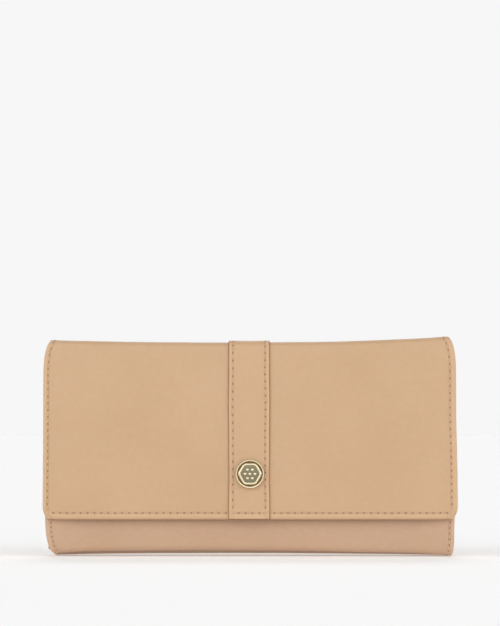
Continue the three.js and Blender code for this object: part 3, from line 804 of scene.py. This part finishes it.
def make_card_slots():
    """Stepped strips, each creased under its top edge and sewn down its middle between the cards."""
    for name, body, faces_front in (("rear", "back", True), ("front", "front", False)):
        nodes = sorted(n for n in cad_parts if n.startswith(name + "_card_slot_"))
        for number, node in enumerate(nodes):
            low, high = box(node)
            y = low[Y] if faces_front else high[Y]
            ends = [(y, high[Z]), (y, low[Z])]
            path = line(*(ends if faces_front else ends[::-1]))
            strip = Panel(path, high[X], high[Y] - low[Y], crease=1.8, radius=0.22, waves=0.05,
                          paint=0.3)
            sheet_on(strip, node + "_strip", [slot_leather, flesh, edge_dye_and_shade], body,
                     None, [node], walls=2)
            shown = SLOT_STEP if number < len(nodes) - 1 else high[Z] - low[Z] - 6
            threads = []
            for k in range(int((shown - 1.0) / SLOT_PITCH)):
                s = 1.2 + (k + 0.5 + STITCH_SPAN) * SLOT_PITCH
                threads.append(strip.thread(0 * s, s if faces_front else strip.length - s))
            sew(node + "_stitches", body, None, threads)


# ---- Gussets, pocket and zip ----


def rounded(points, passes=3):
    """The points' line with its corners cut, over and over, and its ends kept."""
    points = np.array(points, float)
    for _ in range(passes):
        near = 0.78 * points[:-1] + 0.22 * points[1:]
        far = 0.22 * points[:-1] + 0.78 * points[1:]
        middle = np.stack([near, far], axis=1).reshape(-1, points.shape[1])
        points = np.concatenate([points[:1], middle[1:-1], points[-1:]])
    return points


GUSSET_THICKNESS = 0.5
POCKET_REAR_Y = box("pocket_rear_wall")[HIGH][Y]
POCKET_FRONT_Y = box("pocket_front_wall")[LOW][Y]


def make_gussets():
    """Each gusset folds in, comes out round the pocket's edge, folds in again, and ends on the front."""
    low, high = box("gusset_right")
    tip, edge = low[X] + 0.4, high[X] - 0.35
    rear, front = BACK_INNER_Y - 0.35, FRONT_INNER_Y + 0.35
    outline = rounded([
        (edge - 3.0, rear), (edge - 0.4, rear), (edge - 0.3, rear - 0.8),
        (tip, (rear - 0.8 + POCKET_REAR_Y) / 2), (edge, POCKET_REAR_Y + 0.35),
        (edge + 0.1, POCKET_REAR_Y - 0.6), (edge + 0.1, POCKET_FRONT_Y + 0.6),
        (edge, POCKET_FRONT_Y - 0.35), (tip, (front + 0.8 + POCKET_FRONT_Y) / 2),
        (edge - 0.3, front + 0.8), (edge - 0.4, front), (edge - 3.0, front),
    ], 2)
    steps = travelled(outline)
    tangent = unit(np.gradient(outline, steps, axis=0))
    normal = np.stack([-tangent[:, 1], tangent[:, 0]], axis=1)
    heights = np.r_[np.linspace(low[Z], high[Z] - 0.6, 30), high[Z] - 0.25, high[Z] - 0.05, high[Z]]
    half = GUSSET_THICKNESS / 2
    for name, side in (("left", -1), ("right", 1)):
        grids = []
        for face in (1, -1):
            rows = []
            for z in heights:
                taper = half * math.sqrt(max(0.05, 1 - max(0, (z - high[Z] + 0.3) / 0.3) ** 2))
                depth = 1 - 0.06 * (1 - z / high[Z])
                x = outline[:, 0] + face * taper * normal[:, 0]
                y = outline[:, 1] + face * taper * normal[:, 1]
                x = edge + (x - edge) * depth - (BODY_HALF - front_half(z)) - 0.9 * ease((10 - z) / 6)
                wobble = 0.12 * np.array([noise.noise(Vector((s / 5, z / 16, side))) for s in steps])
                rows.append(np.stack(settle(side * (x + wobble), y, z + 0 * x), axis=1))
            grids.append(np.array(rows))
        rows, columns = len(heights), len(steps)
        faces = np.concatenate(sheet_faces(rows, columns))[:, ::side]
        corners = faces.ravel() % (rows * columns)
        hide = np.stack([np.tile(steps, rows), np.repeat(heights, columns)], axis=1)[corners] / 100
        uvs = {"hide": hide, "seam": np.full_like(hide, NO_SEAM)}
        vertices = np.array(grids).reshape(-1, 3)
        piece = make_mesh(name + "_gusset", vertices, faces, [slot_leather], uvs=uvs)
        bend = ((BACK_INNER_Y - 0.8, 40), (FRONT_INNER_Y + 0.8, 40))
        tie(piece, ("back", "front"), bend, ["gusset_" + name])


ZIP_Y = (POCKET_REAR_Y + POCKET_FRONT_Y) / 2
ZIP_Z = (box("zip_teeth_rear")[LOW][Z] + box("zip_teeth_rear")[HIGH][Z]) / 2
POCKET_TOP = box("pocket_rear_wall")[HIGH][Z]
TAPE = 0.3


def make_pocket():
    """One length of cloth, down the front, round the bottom and up the rear, hemmed along both tops."""
    rear, front = POCKET_REAR_Y, POCKET_FRONT_Y
    bottom, half = box("pocket_bottom_fold")[LOW][Z], box("pocket_rear_wall")[HIGH][X]
    wall = rear - box("pocket_rear_wall")[LOW][Y]
    turn = 1.4  # the radius of the bottom's two corners
    corners = [(front, POCKET_TOP), (front, bottom), (rear, bottom), (rear, POCKET_TOP)]
    path = folded(corners, [turn, turn])
    pocket = Panel(path, half, wall, start_row=(1.9, 2.6), end_row=(1.9, 2.6), settles=False,
                   radius=0.27, waves=0.16)
    piece = sheet_on(pocket, "pocket_bag", [cloth, cloth], "pocket", None,
                     ["pocket_rear_wall", "pocket_front_wall", "pocket_bottom_fold"])
    sew("pocket_stitches", "pocket", None, pocket.end_stitches(), pocket.end_stitches(at_end=True))


def make_tapes():
    for name, sign in (("rear", 1), ("front", -1)):
        low, high = box("zip_tape_" + name)
        out = max(abs(low[Y] - ZIP_Y), abs(high[Y] - ZIP_Y)) - TAPE / 2
        into = box("pocket_rear_wall")[LOW][Y] - ZIP_Y - 0.25
        path = rounded([
            (ZIP_Y + sign * into, low[Z]), (ZIP_Y + sign * into, POCKET_TOP + 0.6),
            (ZIP_Y + sign * out, POCKET_TOP + 4), (ZIP_Y + sign * out, ZIP_Z - 1),
            (ZIP_Y + sign * 2.6, ZIP_Z), (ZIP_Y + sign * 1.5, ZIP_Z),
        ])
        tape = Panel(path[::sign], high[X], TAPE, settles=False, radius=0.12, waves=0.03)
        piece = sheet_on(tape, f"zip_tape_{name}_cloth", [tape_cloth, tape_cloth], "pocket",
                         None, ["zip_tape_" + name])


TOOTH_PITCH, TOOTH_WIDTH = 2.0, 0.8
TOOTH_OUTLINE = np.array([(-0.42, 1.5), (0.42, 1.5), (0.36, 0.7), (0.41, 0.1), (0.26, -0.46),
                          (-0.26, -0.46), (-0.41, 0.1), (-0.36, 0.7)])
TOOTH_LEVELS = ((-0.75, 0.82), (-0.6, 1.0), (0.6, 1.0), (0.75, 0.82))  # each a height and a size


def make_teeth():
    """Metal teeth clamped on each tape's edge, the two rows meshed."""
    centre, count = TOOTH_OUTLINE.mean(axis=0), len(TOOTH_OUTLINE)
    for name, sign in (("rear", 1), ("front", -1)):
        low, high = box("zip_teeth_" + name)
        first = low[X] + TOOTH_WIDTH / 2 + (0.1 if sign > 0 else 1.1)
        vertices, faces = [], []
        for i in range(int((high[X] - first) / TOOTH_PITCH) + 1):
            faces += tube_faces(len(TOOTH_LEVELS), count, len(vertices), sign)
            middle = first + i * TOOTH_PITCH
            for z, size in TOOTH_LEVELS:
                ring = centre + (TOOTH_OUTLINE - centre) * size
                vertices += [(middle + x, ZIP_Y + sign * y, ZIP_Z + z) for x, y in ring]
        row = make_mesh(f"zip_teeth_{name}_row", vertices, faces, [gold], smooth=False)
        tie(row, "pocket", None, ["zip_teeth_" + name])


# ---- Snap ----

SNAP_Z = (box("snap_cap")[LOW][Z] + box("snap_cap")[HIGH][Z]) / 2
SEGMENTS = 72
BEZEL_CORNER = 5.85  # from the snap's axis to the bezel's corners
DOME_RADIUS, DOME_HEIGHT, DOME_SPREAD = 0.66, 0.3, 2.3
DOME_RINGS, DOME_POINTS = 5, 20


def circle(x, y, z, radius, count):
    """Points round a line along Y, from a centre that is counted from the snap's."""
    angles = np.radians(np.arange(count) * 360 / count)
    x, z = x + radius * np.cos(angles), SNAP_Z + z + radius * np.sin(angles)
    return np.stack([x, y + 0 * x, z], axis=1)


def ring_mesh(name, rings, materials, marks=None):
    return make_mesh(name, np.concatenate(rings), ring_faces(len(rings), SEGMENTS), materials, marks)


def turned(name, profile, material, body, nodes, recess=(0, 0)):
    """A piece turned about the snap's axis, from points that are a radius and a place along Y.

    The bands of the profile from the first of recess to before the second are in dark metal.
    """
    rings = [circle(0, y, 0, r, SEGMENTS) for r, y in profile]
    bands = np.repeat(np.arange(len(profile) - 1), SEGMENTS)
    marks = (bands >= recess[0]) & (bands < recess[1])
    piece = ring_mesh(name, rings, [material, dark_metal], marks)
    tie(smoothed(piece), body, None, nodes)


def smoothed(piece, angle=32):
    """Marks the edges that turn sharply, so that the rest shades smoothly."""
    work = bmesh.new()
    work.from_mesh(piece.data)
    bmesh.ops.remove_doubles(work, verts=work.verts, dist=1e-6)
    bmesh.ops.recalc_face_normals(work, faces=work.faces)
    for edge in work.edges:
        edge.smooth = len(edge.link_faces) == 2 and edge.calc_face_angle(0) < math.radians(angle)
    work.to_mesh(piece.data)
    work.free()
    return piece


def hexagon(radius, y, softness):
    """Points round a hexagon with corners at its sides, each rounded by softness, from 0 to 1."""
    within = np.radians(np.arange(SEGMENTS) * 360 / SEGMENTS % 60 - 30)
    straight = radius * math.cos(math.pi / 6) / np.cos(within)
    return circle(0, y, 0, np.minimum(straight, radius * (1 - 0.06 * softness)), SEGMENTS)


def make_snap_cap():
    """A rimmed disc, a six-sided bezel, and a satin plaque with seven small domes."""
    low, high = box("snap_cap")
    face, back, radius = low[Y], box("strap_front")[LOW][Y] - 0.05, high[X]
    turned("snap_cap_rim", [
        (0.01, back), (radius - 0.5, back), (radius - 0.12, back - 0.12), (radius, back - 0.5),
        (radius, face + 1.2), (radius - 0.06, face + 0.95), (radius - 0.2, face + 0.8),
        (radius - 0.5, face + 0.76), (radius - 0.72, face + 0.85), (radius - 0.82, face + 1.1),
        (radius - 1.0, face + 1.35), (0.01, face + 1.4),
    ], gold, "flap", ["snap_cap"], recess=(9, 11))
    bezel = [(0, 1.45), (0.02, 1.0), (0.12, 0.6), (0.3, 0.42), (0.55, 0.36), (0.9, 0.36), (1.1, 0.46),
             (1.2, 0.8)]
    rings = [hexagon(BEZEL_CORNER - inset, face + y, 1) for inset, y in bezel]
    tie(smoothed(ring_mesh("snap_cap_bezel", rings, [gold]), 40), "flap")
    plaque = [(1.16, 0.84), (1.4, 0.8), (2.8, 0.78)]
    rings = [hexagon(BEZEL_CORNER - inset, face + y, 1) for inset, y in plaque]
    rings.append(hexagon(0.02, face + 0.77, 0))
    tie(ring_mesh("snap_cap_plaque", rings, [plaque_metal]), "flap")
    make_domes(face + 0.8)


def make_domes(y):
    """One dome in the middle of six, all standing out along -Y from a flat face."""
    turns = np.radians(range(0, 360, 60))
    centres = [(0, 0)] + [(DOME_SPREAD * math.cos(a), DOME_SPREAD * math.sin(a)) for a in turns]
    vertices, faces = [], []
    for x, z in centres:
        faces += ring_faces(DOME_RINGS, DOME_POINTS, len(vertices))
        for lean in np.linspace(0, math.pi / 2, DOME_RINGS):
            radius = max(DOME_RADIUS * math.cos(lean), 0.01)
            vertices += list(circle(x, y - DOME_HEIGHT * math.sin(lean), z, radius, DOME_POINTS))
    tie(make_mesh("snap_cap_domes", vertices, faces, [gold]), "flap")


def make_snap_inside():
    low, high = box("snap_socket")
    floor, rim, outer = low[Y], high[Y], high[X]
    turned("snap_socket_cup", [
        (0.01, floor), (outer, floor), (outer + 0.25, floor + 0.3), (outer, floor + 0.65),
        (outer - 0.25, rim - 0.35), (outer - 0.5, rim - 0.06), (outer - 0.9, rim), (3.75, rim - 0.08),
        (3.6, rim - 0.3), (3.62, floor + 0.4), (0.01, floor + 0.4),
    ], steel, "flap", ["snap_socket"])
    low, high = box("snap_stud")
    head, back, outer = low[Y], high[Y], high[X]
    turned("snap_stud_post", [
        (0.01, back), (1.5, back), (1.5, FRONT_Y - 0.02), (outer - 0.2, FRONT_Y - 0.02),
        (outer, FRONT_Y - 0.2), (outer - 0.15, FRONT_Y - 0.42), (outer - 0.8, FRONT_Y - 0.52),
        (2.5, FRONT_Y - 0.5), (2.15, FRONT_Y - 0.62), (2.1, FRONT_Y - 0.95), (2.38, head + 0.45),
        (2.3, head + 0.18), (1.9, head + 0.03), (1.2, head), (0.7, head + 0.12), (0.01, head + 0.16),
    ], steel, "front", ["snap_stud"])
    low, high = box("snap_washer")
    turned("snap_washer_ring", [
        (1.56, low[Y]), (high[X] - 0.15, low[Y]), (high[X], low[Y] + 0.2),
        (high[X] - 0.1, high[Y] + 0.02), (2.6, high[Y] + 0.12), (1.9, high[Y] + 0.16),
        (0.3, high[Y] + 0.06), (0.01, high[Y] + 0.05),
    ], steel, "front", ["snap_washer"])


# ---- CAD pieces that keep their shape ----


def refinish():
    """Gives each its material and the rounding of its edges, in millimetres."""
    kept = {
        "zip_slider": (gold, 0.28), "zip_pull": (gold, 0.3), "zip_bottom_stop": (gold, 0.25),
        "zip_top_stop_rear": (gold, 0.2), "zip_top_stop_front": (gold, 0.2), "snap_spring": (steel, 0),
        "back_board": (board_stuff, 0.1), "front_board": (board_stuff, 0.1),
    }
    for name, (material, bevel) in kept.items():
        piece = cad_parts[name]
        for holder in piece.material_slots:
            holder.link = "OBJECT"
            holder.material = material
        if bevel:
            rounding = piece.modifiers.new("rounding", "BEVEL")
            rounding.width = bevel * MM
            rounding.segments = 3


# ---- Studio ----


BACKDROP = 0.93
FRONT_LEVEL = 1.0  # the surround's light from ahead of the wallet
OVERHEAD = 0.15  # and from above it
FRONT_REACH = 0.7  # how far up the light from ahead reaches
FLOOR_REACH = 40000
FLOOR_DROP = -0.0001  # in metres, as the camera's distances are
FLOOR_SHADE = 0.86
FLOOR_GLOW = 0.26
LIGHTS = (  # each one's turn from the front and lift in degrees, strength, and width in degrees
    ("left_light", -66, 12, 1.1, 50), ("right_light", 66, 12, 1.1, 50),
    ("front_light", 0, 38, 0.43, 60), ("back_light", 180, 52, 0.75, 25),
)
SENSOR = 36
DISTANCE = 1.6
ELEVATION = 0.3
AZIMUTH = 0.6
FRAME_WIDTH = 0.2341  # how much the frame takes in, side to side, at the flap
OBJECT_DROP = 135.9 / 500  # how far the object's middle is under the frame's, as a share of its width


def make_studio():
    corners = [(FLOOR_REACH * x, FLOOR_REACH * y, 0) for x, y in ((-1, -1), (1, -1), (1, 1), (-1, 1))]
    ground = make_mesh("floor", corners, [(0, 1, 2, 3)], [floor_material()], smooth=False)
    ground.location.z = FLOOR_DROP
    make_world()
    for name, turn, lift, strength, size in LIGHTS:
        light = bpy.data.lights.new(name, "SUN")
        light.energy = strength
        light.angle = math.radians(size)
        add(name, light).rotation_euler = (math.radians(90 - lift), 0, math.radians(turn))


def floor_material():
    """A white table, lit a little from inside."""
    made, _, shader = start_material("floor_paper", 1.0, specular=0.0)
    shader.inputs["Base Color"].default_value = (FLOOR_SHADE, FLOOR_SHADE, FLOOR_SHADE, 1)
    shader.inputs["Emission Color"].default_value = (1, 1, 1, 1)
    shader.inputs["Emission Strength"].default_value = FLOOR_GLOW
    return made


def make_world():
    """A white backdrop, and soft light that comes mostly from the front and is dim overhead."""
    world = bpy.data.worlds.new("studio")
    bpy.context.scene.world = world
    world.use_nodes = True
    tree = world.node_tree
    where = put(tree, "TexCoord", {}).outputs["Generated"]
    parts = put(tree, "SeparateXYZ", {0: where}).outputs
    forward = maths(tree, "MAXIMUM", maths(tree, "MULTIPLY", parts[1], -FRONT_REACH), 0.0)
    height = maths(tree, "SUBTRACT", parts[2], forward)
    level = scaled(tree, height, 0.12, 0.45, FRONT_LEVEL, OVERHEAD)
    seen = put(tree, "LightPath", {}).outputs["Is Camera Ray"]
    shown = put(tree, "MapRange", {0: seen, 3: level, 4: BACKDROP}).outputs[0]
    tree.links.new(shown, tree.nodes["Background"].inputs["Color"])


def make_camera():
    lens = bpy.data.cameras.new("camera")
    lens.sensor_fit = "HORIZONTAL"
    lens.sensor_width = SENSOR
    lens.lens = SENSOR * DISTANCE / FRAME_WIDTH
    lens.shift_y = OBJECT_DROP
    lens.clip_end = 100
    camera = bpy.context.scene.camera = add("camera", lens)
    turn, lift = math.radians(AZIMUTH), math.radians(ELEVATION)
    aim = Vector((0, FLAP_Y * MM, 0.5 * (TOP_Z + 1) * MM))
    level = math.cos(lift)
    away = Vector((math.sin(turn) * level, -math.cos(turn) * level, math.sin(lift)))
    camera.location = aim + DISTANCE * away
    camera.rotation_euler = (math.pi / 2 - lift, 0, turn)


make_camera()
make_studio()
bpy.context.scene.view_settings.view_transform = "Standard"
make_strap(make_skin())
make_linings()
make_boards()
make_card_slots()
make_gussets()
make_pocket()
make_tapes()
make_teeth()
make_snap_cap()
make_snap_inside()
refinish()
